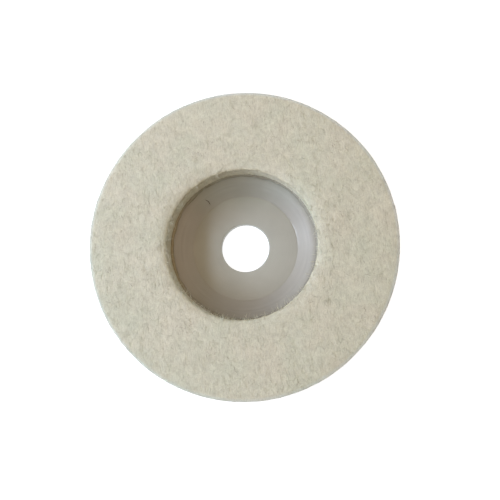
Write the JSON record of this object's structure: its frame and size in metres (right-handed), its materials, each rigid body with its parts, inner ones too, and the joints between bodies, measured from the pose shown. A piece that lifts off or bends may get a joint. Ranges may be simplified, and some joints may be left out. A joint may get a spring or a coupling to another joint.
{
  "type": "felt polishing wheel",
  "caption": "Flat felt polishing wheel: a pressed-wool felt ring glued to a ribbed plastic backing plate with a depressed centre and a spindle bore.",
  "frame": {"origin": "on the bore's axis, in the plane of the hub's back face, which the wheel rests on", "axes": "+Z along the spindle, out of the felt's polishing face; X and Y lie in the plane of the wheel"},
  "size_m": [0.1, 0.1, 0.0155],
  "materials": {
    "plate_plastic": "moulded, satin, slightly translucent grey",
    "glue": "set contact adhesive, amber brown",
    "felt": "pressed wool felt, undyed off-white"
  },
  "bodies": {
    "root": {"backing_plate": "plate_plastic", "adhesive_layer": "glue", "felt_ring": "felt"}
  },
  "joints": []
}
